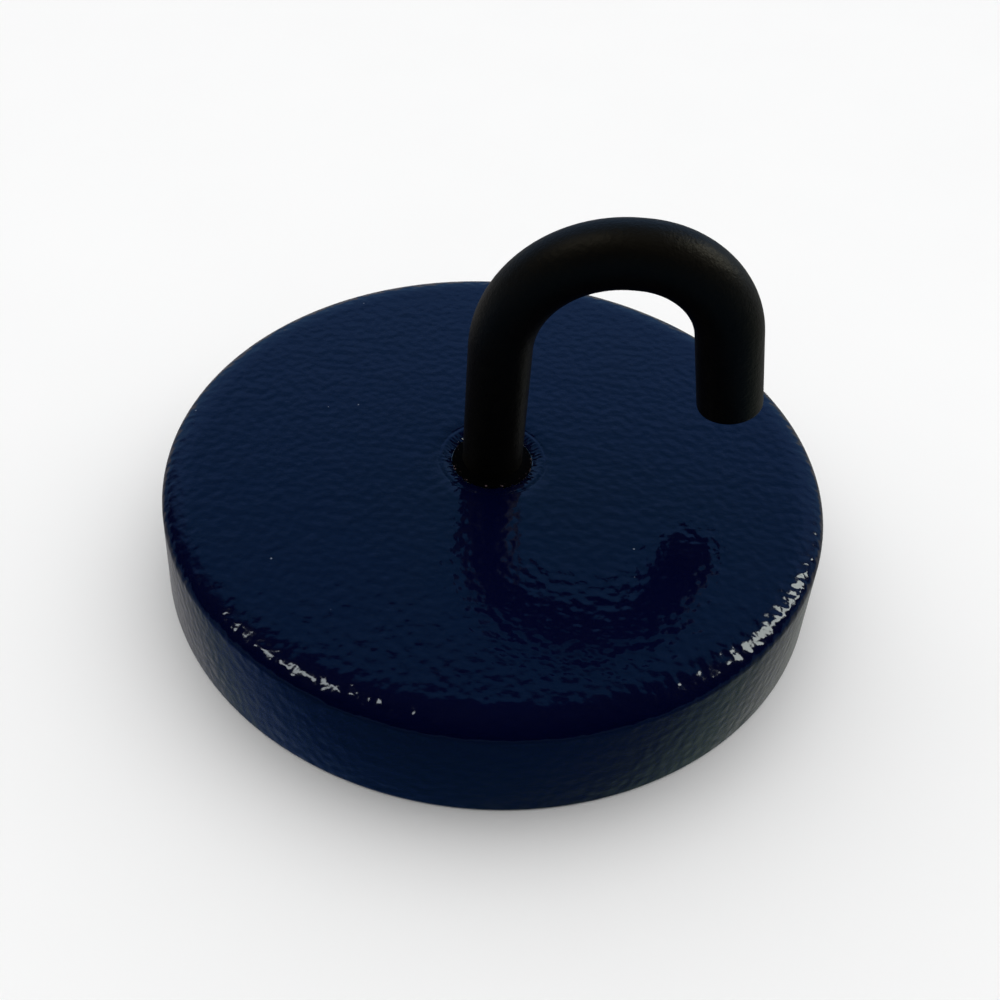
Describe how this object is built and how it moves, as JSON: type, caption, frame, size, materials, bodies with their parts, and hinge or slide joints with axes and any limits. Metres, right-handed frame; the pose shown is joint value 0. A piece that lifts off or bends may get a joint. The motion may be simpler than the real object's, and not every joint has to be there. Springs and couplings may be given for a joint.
{
  "type": "magnet fishing magnet",
  "caption": "Round cup magnet for retrieving steel from water: a blue coated steel cup holds a ferrite ring, and a black open hook screws into its centre.",
  "frame": {"origin": "middle of the open magnetic face, in the plane of the cup's rim", "axes": "+Z along the cup's axis, out of the blue top and up the hook's shank; +X the way the hook's tip points"},
  "size_m": [0.0826, 0.0826, 0.0475],
  "materials": {
    "blue_coat": "glossy navy powder coat with a fine orange-peel ripple",
    "bush_steel": "turned steel",
    "ferrite": "ground sintered ferrite, dull charcoal",
    "adhesive": "cured epoxy film",
    "potting_resin": "black potting resin, slightly sunk",
    "sealant": "cured black thread sealant",
    "black_hook": "satin black coat on steel rod",
    "spring_steel": "zinc plated spring steel",
    "zinc_plate": "bright zinc plate"
  },
  "bodies": {
    "cup": {"cup_shell": "blue_coat", "threaded_bush": "bush_steel", "ring_magnet": "ferrite", "magnet_glue": "adhesive", "potting_ring": "potting_resin", "split_washer": "spring_steel", "lock_nut": "zinc_plate"},
    "seal": {"thread_seal": "sealant"},
    "hook": {"hook": "black_hook"}
  },
  "joints": [
    {"name": "hook_rise", "type": "slide", "parent": "cup", "child": "seal", "axis": [0, 0, 1], "range_m": [0, 0.00562]},
    {"name": "hook_turn", "type": "hinge", "parent": "seal", "child": "hook", "pos_m": [0, 0, 0], "axis": [0, 0, 1], "range_deg": [0, 1620]}
  ],
  "couplings": [
    {"joint": "hook_rise", "follows": "hook_turn", "m_per_rad": 0.00019894}
  ]
}
